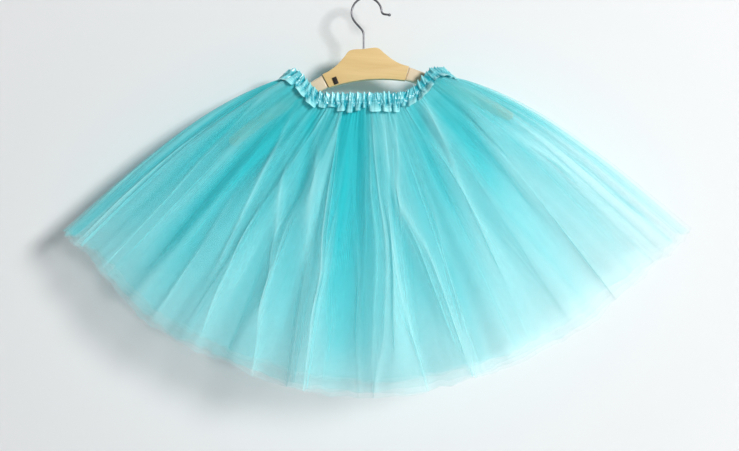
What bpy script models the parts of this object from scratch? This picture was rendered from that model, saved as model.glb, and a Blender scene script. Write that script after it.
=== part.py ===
"""Ballet tutu: three gathered tulle rings on a ruched satin waistband, over the arms of a
wooden hanger with a steel hook.

Metres. The origin is the inside top of the hook's crook. +X is the wearer's left side of the
skirt as it faces the viewer, +Y runs to the back and +Z is up.

A place on the skirt has a station, the angle round the waist seen from above: 0 at the right
end of the fan, 90 at the back, 180 at the left end and 270 at the front.
"""

import math

import bmesh
import bpy
from mathutils import Vector

GAP = 0.0003  # between pieces that touch

# Hook
WIRE = 0.0028  # diameter
CROOK_RADIUS = 0.0203  # to the wire's middle
CROOK_LOW_END = 222.0  # degrees, where the crook runs into the slanting stretch
NECK_X = -0.004
NECK_BEND_RADIUS = 0.012
TIP_BEND_START = 5.0  # degrees on the crook
TIP_BEND_RADIUS = 0.0045
TIP_TURN = 78.0  # degrees
TIP_LENGTH = 0.0045
BALL_RADIUS = 0.0021
BALL_RINGS = (0.15, 0.5, 1.0, 1.5, 1.85)  # places along the ball, in radii
CROOK_STEPS = 30
BEND_STEPS = 6

# Hanger, level, measured from the foot of the hook's neck, then tilted as it hangs
HANGER_TOP_Z = -0.0690
HANGER_TILT = 5.3  # degrees, left end low
BLOCK_THICKNESS = 0.015
ARM_THICKNESS = 0.011
BLOCK_EDGE = 0.0022  # rounding of the board's long edges
ARM_EDGE = 0.0028
BLOCK_OUTLINE = (
    # out from the middle, top edge, bottom edge
    (0.0000, 0.0000, -0.0410),
    (0.0180, 0.0000, -0.0420),
    (0.0275, -0.0085, -0.0430),
    (0.0375, -0.0178, -0.0444),
    (0.0480, -0.0246, -0.0464),
)
JOINT_TOP = (0.0587, -0.0288)  # the block's slanted end
JOINT_BOTTOM = (0.0513, -0.0471)
ARM_SECTIONS = (
    # out from the middle, height of the arm's middle, half of its depth
    (0.0800, -0.0490, 0.0085),
    (0.1100, -0.0630, 0.0083),
    (0.1400, -0.0785, 0.0079),
    (0.1700, -0.0960, 0.0074),
)
ARM_END = (0.1855, -0.1058)  # middle of the rounded end
ARM_END_RADIUS = 0.0071
ARM_END_STEPS = 6
ARM_STEP_IN = 0.0007  # how far the arm's end is lower than the block's, top and bottom

# Dark inlay on the block
KEY_MIDDLE = (-0.0418, -0.0390)
KEY_SIZE = (0.0060, 0.0100)
KEY_THICKNESS = 0.0012
KEY_LEAN = 17.0  # degrees

# Waistband
BAND_HALF_WIDTH = 0.102  # top edge, at the ends of the ring
BAND_HEIGHT = 0.0265
BAND_WALL = 0.0016
BAND_END_Z = (-0.1025, -0.1000)  # top edge at the left end and at the right end
BAND_DEPTH = (0.033, 0.028)  # front and back half of the ring's depth
BAND_SAG = 0.031  # the ring drops this much between the hanger's arms
SAG_START = (0.50, 0.60)  # share of the ring's depth where the drop starts, left and right
SAG_END = (0.90, 0.97)
BAND_LEAN = (8.0, 60.0)  # degrees outwards, at the middle and at the ends
BAND_PUCKERS = 24
BAND_PUCKER_DEPTH = 0.0016
BAND_PUCKER_COLUMNS = 4
BAND_PUCKER_AT_TOP = 0.6  # share of a pucker's depth at the top edge
BAND_ROWS = (0.0, 0.35, 0.7, 1.0)  # share of the height
BAND_FLARE = 0.0022  # the frill stands this far off the tulle

# Tulle
CUT_LENGTH = 0.377  # waist seam to hem
SEAM_AT = 0.74  # share of the band's height where the tulle is sewn on
FAN = (55.0, 57.0)  # degrees from straight down, at the left end and at the right end
HEM_DEPTH = (0.086, 0.064)  # front and back half of the skirt's depth at the hem
END_ROUNDNESS = 0.80  # below 1 blunts the two ends of the ring
SHOULDER = (0.018, 0.020)  # how far the cloth bows up over the arms, left and right
REACH = (
    # across the fan, share of the cut length that the fan's reach shows
    (-1.0, 0.930),
    (-0.6, 0.952),
    (0.0, 1.000),
    (0.6, 0.975),
    (1.0, 1.000),
)
BELLY = 0.30  # how much the depth grows early, share of the whole
TULLE_WALL = 0.0010
LAYER_GAP_WAIST = 0.0016  # from one layer to the next
LAYER_GAP_HEM = 0.0042
LAYER_SHORTER = 0.0035
LAYER_CALMER = 0.2  # share of the folds' depth that each layer inwards loses
TULLE_ROWS = (0.0, 0.07, 0.24, 0.60, 1.0)  # share of the length, seam to hem
FLUTE_START = 0.12  # share of a fold's depth already there at the seam
FOLDS = (
    # station of the crest, depth of the fold at the hem
    (0.0, 0.006),
    (14.0, 0.010),
    (29.0, 0.013),
    (43.0, 0.012),
    (57.0, 0.017),
    (70.0, 0.013),
    (82.0, 0.018),
    (95.0, 0.012),
    (107.0, 0.017),
    (120.0, 0.014),
    (134.0, 0.016),
    (149.0, 0.011),
    (165.0, 0.009),
    (180.0, 0.006),
    (197.0, 0.009),
    (212.0, 0.012),
    (225.0, 0.011),
    (236.5, 0.015),
    (246.5, 0.013),
    (258.0, 0.022),
    (275.5, 0.024),
    (286.5, 0.018),
    (296.0, 0.013),
    (308.0, 0.018),
    (321.0, 0.013),
    (334.0, 0.012),
    (347.0, 0.008),
)


def clear_scene():
    for thing in list(bpy.data.objects):
        bpy.data.objects.remove(thing, do_unlink=True)


def material(name, colour, roughness, metallic=0.0, sheen=0.0):
    made = bpy.data.materials.new(name)
    made.use_nodes = True
    shader = made.node_tree.nodes["Principled BSDF"]
    shader.inputs["Base Color"].default_value = (*colour, 1.0)
    shader.inputs["Roughness"].default_value = roughness
    shader.inputs["Metallic"].default_value = metallic
    shader.inputs["Sheen Weight"].default_value = sheen
    return made


def add_object(name, data, finish, parent=None):
    piece = bpy.data.objects.new(name, data)
    bpy.context.scene.collection.objects.link(piece)
    data.materials.append(finish)
    piece.parent = parent
    return piece


def mix(start, end, share):
    return start + (end - start) * share


def smooth_step(low, high, value):
    share = min(max((value - low) / (high - low), 0.0), 1.0)
    return share * share * (3.0 - 2.0 * share)


def arc(centre, radius, start, end, steps):
    """Points in the XZ plane from one angle to another, in degrees."""
    angles = [math.radians(mix(start, end, i / steps)) for i in range(steps + 1)]
    return [
        (centre[0] + radius * math.cos(a), centre[1] + radius * math.sin(a)) for a in angles
    ]


# Hanger


def hook_path():
    """The wire's middle line in the XZ plane, from its foot in the wood to its ball."""
    crook = (0.0, WIRE / 2 - CROOK_RADIUS)
    low = math.radians(CROOK_LOW_END)
    heading = Vector((-math.sin(low), math.cos(low)))
    crook_low = Vector(arc(crook, CROOK_RADIUS, CROOK_LOW_END, CROOK_LOW_END, 1)[0])
    run = NECK_X - crook_low.x - NECK_BEND_RADIUS * (1.0 + heading.y)
    bend_start = crook_low + heading * run / heading.x
    bend_centre = bend_start + NECK_BEND_RADIUS * Vector((heading.y, -heading.x))
    bend_angle = CROOK_LOW_END - 180.0
    tip_angle = math.radians(TIP_BEND_START)
    tip_centre = Vector(crook) + (CROOK_RADIUS + TIP_BEND_RADIUS) * Vector(
        (math.cos(tip_angle), math.sin(tip_angle))
    )
    tip_start = TIP_BEND_START + 180.0
    path = [(NECK_X, HANGER_TOP_Z + GAP)]
    path += arc(bend_centre, NECK_BEND_RADIUS, 0.0, bend_angle, BEND_STEPS)
    path += arc(crook, CROOK_RADIUS, CROOK_LOW_END, TIP_BEND_START, CROOK_STEPS)
    path += arc(tip_centre, TIP_BEND_RADIUS, tip_start, tip_start + TIP_TURN, BEND_STEPS)[1:]
    end = math.radians(tip_start + TIP_TURN)
    forward = Vector((-math.sin(end), math.cos(end)))
    path.append(tuple(Vector(path[-1]) + TIP_LENGTH * forward))
    return path, forward


def build_hook(finish):
    path, forward = hook_path()
    end = Vector(path[-1])
    radii = [WIRE / 2] * len(path)
    for along in BALL_RINGS:
        path.append(tuple(end + BALL_RADIUS * along * forward))
        radii.append(BALL_RADIUS * math.sqrt(1.0 - (1.0 - along) ** 2))
    data = bpy.data.curves.new("hook", "CURVE")
    data.dimensions = "3D"
    data.bevel_depth = 1.0
    data.bevel_resolution = 2
    data.use_fill_caps = True
    spline = data.splines.new("POLY")
    spline.points.add(len(path) - 1)
    for point, (x, z), radius in zip(spline.points, path, radii):
        point.co = (x, 0.0, z, 1.0)
        point.radius = radius
    add_object("hook", data, finish)


def build_board(name, outline, thickness, edge, finish, parent, middle_y=0.0):
    """A flat board: an outline in the XZ plane, extruded in Y, its long edges rounded."""
    mesh = bpy.data.meshes.new(name)
    shape = bmesh.new()
    front = middle_y - thickness / 2
    face = shape.faces.new([shape.verts.new((x, front, z)) for x, z in outline])
    back = bmesh.ops.extrude_face_region(shape, geom=[face])["geom"]
    moved = [part for part in back if isinstance(part, bmesh.types.BMVert)]
    bmesh.ops.translate(shape, verts=moved, vec=(0.0, thickness, 0.0))
    bmesh.ops.recalc_face_normals(shape, faces=shape.faces)
    shape.to_mesh(mesh)
    shape.free()
    board = add_object(name, mesh, finish, parent)
    if edge:
        rounding = board.modifiers.new("Rounding", "BEVEL")
        rounding.width = edge
        rounding.segments = 2
        rounding.limit_method = "ANGLE"
        rounding.angle_limit = math.radians(60.0)
    return board


def block_outline():
    top = [(out, high) for out, high, low in BLOCK_OUTLINE] + [JOINT_TOP]
    bottom = [(out, low) for out, high, low in BLOCK_OUTLINE] + [JOINT_BOTTOM]
    right = top[1:] + bottom[::-1]
    left = [(-x, z) for x, z in bottom[1:]] + [(-x, z) for x, z in top[::-1]]
    return right + left


def arm_outline(side):
    """One arm's outline: its upper edge out to the rounded end, then its lower edge back."""
    middles = [Vector((out, middle)) for out, middle, half in ARM_SECTIONS] + [Vector(ARM_END)]
    halves = [half for out, middle, half in ARM_SECTIONS]
    upper = [(JOINT_TOP[0] + GAP, JOINT_TOP[1] - ARM_STEP_IN)]
    lower = [(JOINT_BOTTOM[0] + GAP, JOINT_BOTTOM[1] + ARM_STEP_IN)]
    for here, after, half in zip(middles, middles[1:], halves):
        along = (after - here).normalized()
        across = half * Vector((-along.y, along.x))
        upper.append(tuple(here + across))
        lower.append(tuple(here - across))
    slope = math.degrees(math.atan2(along.y, along.x))
    end = arc(ARM_END, ARM_END_RADIUS, slope + 90.0, slope - 90.0, ARM_END_STEPS)
    return [(side * x, z) for x, z in upper + end + lower[::-1]]


def key_outline():
    lean = math.radians(KEY_LEAN)
    half_wide, half_high = KEY_SIZE[0] / 2, KEY_SIZE[1] / 2
    corners = ((-1, -1), (1, -1), (1, 1), (-1, 1))
    return [
        (
            KEY_MIDDLE[0] + i * half_wide * math.cos(lean) - j * half_high * math.sin(lean),
            KEY_MIDDLE[1] + i * half_wide * math.sin(lean) + j * half_high * math.cos(lean),
        )
        for i, j in corners
    ]


def build_hanger():
    wood = material("Honey wood", (0.72, 0.51, 0.23), 0.42)
    pale_wood = material("Pale wood", (0.80, 0.60, 0.40), 0.45)
    dark_wood = material("Dark inlay", (0.05, 0.02, 0.01), 0.5)
    steel = material("Hook steel", (0.10, 0.10, 0.11), 0.35, metallic=1.0)
    build_hook(steel)
    level = bpy.data.objects.new("hanger_tilt", None)
    bpy.context.scene.collection.objects.link(level)
    level.location = (NECK_X, 0.0, HANGER_TOP_Z)
    level.rotation_euler = (0.0, -math.radians(HANGER_TILT), 0.0)
    build_board("hanger_block", block_outline(), BLOCK_THICKNESS, BLOCK_EDGE, wood, level)
    for name, side in (("hanger_arm_left", -1), ("hanger_arm_right", 1)):
        build_board(name, arm_outline(side), ARM_THICKNESS, ARM_EDGE, pale_wood, level)
    key_y = -(BLOCK_THICKNESS + KEY_THICKNESS) / 2 - GAP
    build_board("hanger_key", key_outline(), KEY_THICKNESS, 0.0, dark_wood, level, key_y)


# Cloth


def by_side(pair, across):
    """A size given for the left end and the right end, at a place across the fan, -1 to 1."""
    return mix(pair[0], pair[1], (across + 1.0) / 2)


def reach_at(across):
    """The share of the cut length that shows, eased between the rows of REACH."""
    for (left, low), (right, high) in zip(REACH, REACH[1:]):
        if across <= right:
            return mix(low, high, smooth_step(left, right, across))
    return REACH[-1][1]


def by_face(pair, through):
    """A size given for the front and the back."""
    return pair[0] if through < 0.0 else pair[1]


def ring_place(station):
    """Across the fan, -1 to 1, and through its depth, -1 front to 1 back."""
    angle = math.radians(station)
    through = math.sin(angle)
    return math.cos(angle), math.copysign(abs(through) ** END_ROUNDNESS, through)


def band_point(station, share):
    """A point on the waistband's middle surface, share 0 at its top edge and 1 at its frill."""
    across, through = ring_place(station)
    middle = smooth_step(by_side(SAG_START, across), by_side(SAG_END, across), abs(through))
    lean = math.radians(mix(BAND_LEAN[1], BAND_LEAN[0], middle))
    outward = Vector((across, through, 0.0)).normalized()
    top = Vector(
        (
            BAND_HALF_WIDTH * across,
            by_face(BAND_DEPTH, through) * through,
            by_side(BAND_END_Z, across) - BAND_SAG * middle,
        )
    )
    down = outward * math.sin(lean) + Vector((0.0, 0.0, -math.cos(lean)))
    return top + down * BAND_HEIGHT * share


def skirt_point(station, share):
    """A point on the skirt's mean surface, share 0 at the waist seam and 1 at the hem."""
    across, through = ring_place(station)
    seam = band_point(station, SEAM_AT)
    bearing = math.radians(by_side(FAN, across)) * across
    depth = by_face(HEM_DEPTH, through) * through
    eased = share + BELLY * share * (1.0 - share)
    forward = (depth - seam.y) * eased
    rise = by_side(SHOULDER, across) * abs(across) ** 3 * math.sin(math.pi * share**0.7)
    length = CUT_LENGTH * reach_at(across)
    reach = math.sqrt(length**2 - (depth - seam.y) ** 2) * share
    fan = Vector((math.sin(bearing), 0.0, -math.cos(bearing))) * reach
    lift = Vector((math.cos(bearing) * across, 0.0, abs(math.sin(bearing)))) * rise
    return seam + fan + lift + Vector((0.0, forward, 0.0))


def outward_normal(surface, station, share):
    """The direction out of a surface, from its points a little to each side."""
    turn, drop = 0.5, 0.02
    low, high = max(share - drop, 0.0), min(share + drop, 1.0)
    around = surface(station + turn, share) - surface(station - turn, share)
    down = surface(station, high) - surface(station, low)
    return down.cross(around).normalized()


def ring_mesh(name, columns, rows):
    """A tube from a grid: columns and rows of points, its two side edges joined."""
    shape = bmesh.new()
    grid = [[shape.verts.new(point) for point in row] for row in rows]
    for upper, lower in zip(grid, grid[1:]):
        for i in range(columns):
            after = (i + 1) % columns
            shape.faces.new((upper[i], upper[after], lower[after], lower[i]))
    bmesh.ops.recalc_face_normals(shape, faces=shape.faces)
    mesh = bpy.data.meshes.new(name)
    shape.to_mesh(mesh)
    shape.free()
    return mesh


def give_wall(piece, thickness):
    wall = piece.modifiers.new("Wall", "SOLIDIFY")
    wall.thickness = thickness
    wall.offset = 0.0
    wall.use_even_offset = False


def fold_columns():
    """(station, depth) at each fold's crest, its valley and half-way between."""
    columns = []
    for i, (station, depth) in enumerate(FOLDS):
        after, next_depth = FOLDS[(i + 1) % len(FOLDS)]
        width = (after - station) % 360.0
        valley = -(depth + next_depth) / 2
        columns += [
            (station, depth),
            (station + 0.25 * width, 0.0),
            (station + 0.50 * width, valley),
            (station + 0.75 * width, 0.0),
        ]
    return columns


def build_tulle(name, layer, finish):
    columns = fold_columns()

    def layer_surface(station, share):
        return skirt_point(station, share * (1.0 - LAYER_SHORTER * layer / CUT_LENGTH))

    rows = []
    for share in TULLE_ROWS:
        inward = layer * mix(LAYER_GAP_WAIST, LAYER_GAP_HEM, share)
        grown = mix(FLUTE_START * share**0.2, 1.0, share) * (1.0 - LAYER_CALMER * layer)
        row = []
        for station, depth in columns:
            normal = outward_normal(layer_surface, station, share)
            place = layer_surface(station, share)
            row.append(place + normal * (depth / 2 * grown - inward))
        rows.append(row)
    piece = add_object(name, ring_mesh(name, len(columns), rows), finish)
    give_wall(piece, TULLE_WALL)


def build_waistband(finish):
    count = BAND_PUCKERS * BAND_PUCKER_COLUMNS
    clear = (TULLE_WALL + BAND_WALL) / 2 + 4 * GAP
    rows = []
    for share in BAND_ROWS:
        row = []
        for i in range(count):
            station = 360.0 * i / count
            wave = math.cos(2 * math.pi * i / BAND_PUCKER_COLUMNS)
            pucker = BAND_PUCKER_DEPTH / 2 * (wave + 1.0) * mix(BAND_PUCKER_AT_TOP, 1.0, share)
            normal = outward_normal(band_point, station, share)
            off = clear + BAND_FLARE * share * share + pucker
            row.append(band_point(station, share) + normal * off)
        rows.append(row)
    piece = add_object("waistband", ring_mesh("waistband", count, rows), finish)
    give_wall(piece, BAND_WALL)


def build_skirt():
    tulle = material("Aqua tulle", (0.10, 0.62, 0.68), 0.8, sheen=0.4)
    satin = material("Aqua satin", (0.14, 0.66, 0.74), 0.25)
    for layer, name in enumerate(("tulle_outer", "tulle_middle", "tulle_inner")):
        build_tulle(name, layer, tulle)
    build_waistband(satin)


def main():
    clear_scene()
    build_hanger()
    build_skirt()


main()
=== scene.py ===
"""Ballet tutu on a wooden hanger: three gathered sheets of tulle under a ruched satin waistband.

Metres, +Z up. The origin is the inside top of the hook's crook, as in the frame. A place on the
skirt has a station, the angle round the waist seen from above (0 at the right end of the fan, 90
at the back, 180 at the left end, 270 at the front), and a share of the length, 0 at the waist
seam and 1 at the hem.
"""

import math

import bmesh
import bpy
import numpy as np
from mathutils import Matrix, Vector


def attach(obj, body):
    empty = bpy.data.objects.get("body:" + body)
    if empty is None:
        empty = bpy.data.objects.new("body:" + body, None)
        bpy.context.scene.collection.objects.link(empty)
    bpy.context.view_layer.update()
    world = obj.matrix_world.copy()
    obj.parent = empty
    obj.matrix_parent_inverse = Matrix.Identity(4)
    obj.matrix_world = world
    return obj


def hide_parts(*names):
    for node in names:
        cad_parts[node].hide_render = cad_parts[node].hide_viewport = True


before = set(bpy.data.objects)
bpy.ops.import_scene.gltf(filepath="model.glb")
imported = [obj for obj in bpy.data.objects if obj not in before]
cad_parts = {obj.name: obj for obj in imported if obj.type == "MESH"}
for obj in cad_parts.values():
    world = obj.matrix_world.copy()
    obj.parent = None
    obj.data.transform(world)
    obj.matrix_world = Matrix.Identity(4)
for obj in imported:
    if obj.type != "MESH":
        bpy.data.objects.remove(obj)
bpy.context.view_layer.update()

bl_info = {
    "name": "Ballet Tutu",
    "version": (1, 0, 0),
    "blender": (4, 5, 0),
    "location": "3D View > Sidebar > Tutu",
    "description": "Adds a gathered tulle tutu on its hanger, with its stage",
    "category": "Add Mesh",
}

MM = 0.001

# Hanger, as in the frame
WIRE = 0.0028  # diameter
CROOK_RADIUS = 0.0203  # to the wire's middle
CROOK_LOW_END = 222.0  # degrees, where the crook runs into the slanting stretch
NECK_X = -0.004
NECK_BEND_RADIUS = 0.012
TIP_BEND_START = 5.0  # degrees on the crook
TIP_BEND_RADIUS = 0.0045
TIP_TURN = 78.0  # degrees
TIP_LENGTH = 0.0045
BALL_RADIUS = 0.0021
HANGER_TOP_Z = -0.0690
HANGER_TILT = 5.3  # degrees, left end low
GAP = 0.0003
BLOCK_THICKNESS = 0.015
ARM_THICKNESS = 0.011
BLOCK_EDGE = 0.0022
ARM_EDGE = 0.0028
BLOCK_OUTLINE = (
    # out from the middle, top edge, bottom edge
    (0.0000, 0.0000, -0.0410),
    (0.0180, 0.0000, -0.0420),
    (0.0275, -0.0085, -0.0430),
    (0.0375, -0.0178, -0.0444),
    (0.0480, -0.0246, -0.0464),
)
JOINT_TOP = (0.0587, -0.0288)
JOINT_BOTTOM = (0.0513, -0.0471)
ARM_SECTIONS = (
    # out from the middle, height of the arm's middle, half of its depth
    (0.0800, -0.0490, 0.0085),
    (0.1100, -0.0630, 0.0083),
    (0.1400, -0.0785, 0.0079),
    (0.1700, -0.0960, 0.0074),
)
ARM_END = (0.1855, -0.1058)
ARM_END_RADIUS = 0.0071
ARM_STEP_IN = 0.0007
ARM_GRAIN = 27.0  # degrees below level, along each arm
KEY_MIDDLE = (-0.0418, -0.0390)
KEY_SIZE = (0.0060, 0.0100)
KEY_THICKNESS = 0.0012
KEY_LEAN = 17.0  # degrees
KEY_EDGE = 0.0003
KEY_GRAIN = 70.0  # degrees

# Waistband's ring, as in the frame
BAND_HALF_WIDTH = 0.102
BAND_HEIGHT = 0.0265
BAND_WALL = 0.0016
BAND_END_Z = (-0.1025, -0.1000)  # left end, right end
BAND_DEPTH = (0.033, 0.028)  # front half, back half
BAND_SAG = 0.031
SAG_START = (0.50, 0.60)
SAG_END = (0.90, 0.97)
BAND_LEAN = (8.0, 60.0)  # degrees outwards, at the middle and at the ends
BAND_FLARE = 0.0022

# Skirt's mean surface, as in the frame
CUT_LENGTH = 0.377
SEAM_AT = 0.74
FAN = (55.0, 57.0)  # degrees
HEM_DEPTH = (0.086, 0.064)  # front half, back half
END_ROUNDNESS = 0.80
SHOULDER = (0.018, 0.020)
# Across the fan, and the share of the cut length that shows there
REACH = ((-1.0, 0.930), (-0.6, 0.952), (0.0, 1.000), (0.6, 0.975), (1.0, 1.000))
BELLY = 0.30
TULLE_WALL = 0.0010
LAYER_GAP_WAIST = 0.0016
LAYER_GAP_HEM = 0.0042
LAYER_SHORTER = 0.0035
FLUTE_START = 0.12
FLUTES = (
    # station of the crest, depth of the fold at the hem
    (0.0, 0.006),
    (14.0, 0.010),
    (29.0, 0.013),
    (43.0, 0.012),
    (57.0, 0.017),
    (70.0, 0.013),
    (82.0, 0.018),
    (95.0, 0.012),
    (107.0, 0.017),
    (120.0, 0.014),
    (134.0, 0.016),
    (149.0, 0.011),
    (165.0, 0.009),
    (180.0, 0.006),
    (197.0, 0.009),
    (212.0, 0.012),
    (225.0, 0.011),
    (236.5, 0.015),
    (246.5, 0.013),
    (258.0, 0.022),
    (275.5, 0.024),
    (286.5, 0.018),
    (296.0, 0.013),
    (308.0, 0.018),
    (321.0, 0.013),
    (334.0, 0.012),
    (347.0, 0.008),
)
FLUTE_CALM = 0.2  # share of the flutes' depth that each layer inwards loses

# Creases given one by one, each straight on the hung skirt: ridges stand up and are painted pale
# as a highlight, troughs lie back and are painted deep in colour as shade
CREASES = (
    # station at the waist and at the hem; half width to the left and to the right, degrees at the
    # hem; height, mm; paleness, a painted highlight where above 0 and painted shade where below;
    # from and to, share of the length
    (251.4, 259.9, 1.9, 0.45, 7.0, 0.46, -0.2, 1.2),
    (251.8, 260.0, 0.45, 0.25, 1.5, 0.34, 0.05, 1.2),
    (248.0, 257.6, 2.6, 1.4, 2.5, 0.22, 0.10, 1.2),
    (259.5, 267.3, 5.0, 4.4, -7.0, -0.60, -0.2, 1.05),
    (257.1, 268.8, 0.30, 0.35, 2.0, 0.15, 0.1, 1.2),
    (273.0, 271.2, 0.35, 0.7, 5.0, 0.44, -0.1, 1.2),
    (283.2, 274.6, 3.4, 3.4, 3.0, 0.34, -0.1, 1.0),
    (291.7, 278.2, 0.6, 0.35, 3.0, 0.24, -0.1, 0.6),
    (270.8, 284.4, 1.7, 0.9, -5.0, -0.42, 0.14, 0.90),
    (273.5, 287.2, 0.5, 0.8, 6.0, 0.50, 0.22, 1.2),
    (264.9, 280.1, 0.35, 0.45, 3.5, 0.40, 0.34, 1.2),
    (311.6, 299.2, 1.9, 1.2, 6.5, 0.48, -0.1, 1.1),
    (323.2, 307.2, 4.4, 2.6, -5.0, -0.30, -0.1, 0.62),
    (304.7, 291.6, 3.0, 2.4, -4.0, -0.28, -0.1, 0.9),
    (303.6, 287.6, 0.4, 0.5, 3.5, 0.30, 0.32, 1.2),
    (298.2, 312.2, 0.5, 0.7, -3.0, -0.30, 0.40, 1.1),
    (322.0, 316.5, 0.8, 2.2, 4.0, 0.26, 0.1, 1.1),
    (312.0, 334.0, 0.8, 1.0, 4.0, 0.24, 0.15, 0.9),
    (304.3, 343.0, 0.5, 0.8, -3.0, -0.30, 0.52, 1.1),
    (237.1, 256.8, 1.5, 1.1, 4.0, 0.30, 0.05, 1.2),
    (229.1, 254.6, 1.6, 1.4, -4.0, -0.16, -0.1, 0.95),
    (214.7, 250.9, 1.1, 0.7, 5.0, 0.40, 0.16, 1.2),
    (221.0, 235.0, 0.45, 0.6, 4.5, 0.44, 0.02, 0.82),
    (222.9, 229.1, 0.45, 0.6, 3.5, 0.32, 0.35, 1.1),
    (220.4, 239.6, 0.9, 0.6, 3.5, 0.24, 0.28, 1.1),
    (230.4, 221.3, 2.6, 2.0, -4.0, -0.30, 0.05, 0.95),
    (217.9, 216.6, 0.8, 1.4, 3.5, 0.24, 0.15, 0.95),
    (212.9, 208.9, 1.2, 1.6, -3.0, -0.22, 0.1, 0.95),
    (203.0, 202.0, 0.6, 1.6, 3.0, 0.22, 0.2, 1.0),
)
OTHER_SIDE = range(6, 178, 7)  # stations of like creases on the hidden side
CREASE_AT_WAIST = 2.2  # a crease's width in degrees at the waist, against its width at the hem
CREASE_RISE_AT_WAIST = 0.45  # share of a crease's height at the waist
CREASE_CALM = 0.1  # share of the creases' height that each layer inwards loses
CREASE_PULL = 0.62  # share of the cloth beside a ridge that is drawn into it
CREASE_REACH = 2.6  # how far a crease is worked out, in its own widths
CREASE_FADES = (0.22, 0.25)  # shares of the length over which a crease starts and ends
RIDGE_CHANCE = 0.62  # how many of the hidden side's creases stand up
PLEATS = 84  # small pleats all round each sheet, sharp on one side and soft on the other
PLEAT_HEIGHT = 2.6  # mm, of the pleats that the sheets share
OWN_PLEAT_HEIGHT = 0.5  # mm, of each sheet's own pleats
# painted light on the pleats: raised ones paler, sunken ones deeper in colour
PLEAT_PAINTED_LIGHT = 0.22
FAN_START = 0.33  # how far above the waist the fan's lines meet, in shares of the length
UNDER_BAND = 0.009  # how far each sheet goes up under the waistband

# Gathers between the creases
LEAST_GATHER = 0.25  # of the largest one's size
GATHER_SHIFT = (0.8, 1.1)  # how far gathers wander, in gathers: everywhere, and more at the hem
MAIN_FOLDS, SMALL_FOLDS, OWN_FOLDS, WAIST_TUCKS = 40, 96, 34, 150  # how many round a sheet
MAIN_HEIGHT, SMALL_HEIGHT, TUCK_HEIGHT = 0.0046, 0.0010, 0.0008
OWN_HEIGHT = 0.30  # share of the room between two sheets
OWN_SWAY = 0.25  # degrees
# painted light on the gathers: folds that stand out are paler, folds that lie back deeper in
# colour
MAIN_FOLD_PAINTED_LIGHT, SMALL_FOLD_PAINTED_LIGHT, OWN_FOLD_PAINTED_LIGHT = 0.08, 0.03, 0.05
TUCK_REACH = (0.07, 0.04)  # shares of the length, and how much it varies
RAGGED_COARSE, RAGGED_FINE = 0.009, 0.006  # shares of the length at the hem

# How full and how pale the net looks; the paleness to the right is painted light
ROUND_WAIST, ROUND_HEM = 0.62, 2.04  # metres round the mean sheet
STEEPEST = 0.28  # a fold counts as no steeper than this
STEEP_SHARE = 0.8
END_THINNING = (0.12, 0.36)  # left end, right end
SIDE_THINNING = (-0.14, 0.66)  # left half, right half
HEM_THINNING = 0.26
RIDGE_FULLNESS, TROUGH_FULLNESS = 0.9, 0.75
SIDE_PAINTED_LIGHT = (0.34, 0.36)  # painted light from the right: darker to the left, paler to the right
GLOW_PALENESS = 0.45  # how pale the light is that comes through the threads, deep 0 to pale 1

# Frill panels of the waistband that lie flat and catch the light, which is painted on them as a
# highlight
FRILL_PANELS = (
    # station of the middle, half width in degrees, stands out in mm, drop, 0 short to 1 long
    (187.0, 8.5, 2.0, 0.85),
    (205.5, 7.0, 2.5, 0.90),
    (218.5, 3.6, 3.0, 0.70),
    (227.0, 3.8, 3.5, 1.00),
    (236.0, 3.2, 2.0, 0.35),
    (243.6, 3.0, 1.5, 0.10),
    (251.4, 3.2, 3.0, 0.75),
    (257.6, 2.4, 2.5, 1.00),
    (263.8, 2.2, 2.0, 0.70),
    (268.4, 1.5, 1.0, 0.30),
    (276.2, 4.2, 4.0, 1.00),
    (284.6, 3.4, 4.5, 1.04),
    (291.6, 2.8, 3.5, 1.00),
    (297.8, 2.0, 1.0, 0.20),
    (304.4, 3.6, 3.5, 0.75),
    (314.6, 5.6, 4.0, 0.95),
    (324.0, 2.2, 1.0, 0.25),
    (331.0, 4.2, 3.0, 0.90),
    (345.0, 8.4, 4.0, 0.95),
)
OTHER_PANELS = range(8, 180, 12)
FRILL_SHORT = 0.36  # share of the band's height by which the frill is shorter between panels
BAND_TUCKS = 230  # short sharp tucks in the satin, all round
TUCK_EASE_AT_FRILL = 0.6
BAND_PUFFS, BAND_PLEATS = 74, 150  # how many round the strip
PUFF_HEIGHT, FINE_HEIGHT = 0.0022, 0.0006
TURN_START, TURN_END = 0.34, 0.42  # shares of the strip where it turns over the top edge
INNER_EDGE = 0.66  # how far down the strip's inner edge comes, a share of the band's height
CASING_END = (0.36, 0.52)  # shares of the height between which the elastic's casing ends
STITCH_LINE, STITCH_WIDTH = 0.42, 0.05
CASING_FULL, PUFF_ROUND = 0.0011, 0.0008
PANEL_LIFT, PANEL_EDGE, EDGE_DEPTH = 0.0011, 0.9, 0.0022  # the edge's width is in degrees
LYING_ENDS, END_DROP = 0.8, 0.004  # how much nearer and lower the frill lies at the two ends
TOP_RISE, TOP_ROLL = (0.0016, 0.0009), 0.0011  # puffs and fine pleats along the top edge
# Satin paleness: BAND_TONE is the middle; the others are painted light and shade, a highlight on
# puffs, pleats and flat panels, shade in gathers, tucks, panel edges, stitching and the inner side
BAND_TONE, PUFF_PAINTED_LIGHT, FINE_PLEAT_PAINTED_LIGHT, TUCK_PAINTED_SHADE = 0.36, 0.40, 0.10, 0.26
PANEL_PAINTED_HIGHLIGHT, EDGE_PAINTED_SHADE = (0.16, 0.09), 0.45  # painted highlight of every panel, and more for each mm it stands out; painted shade along the panels' edges
# painted shade along the stitched line and on the strip's inner side
STITCH_PAINTED_SHADE, INSIDE_PAINTED_SHADE = 0.10, 0.2

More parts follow.
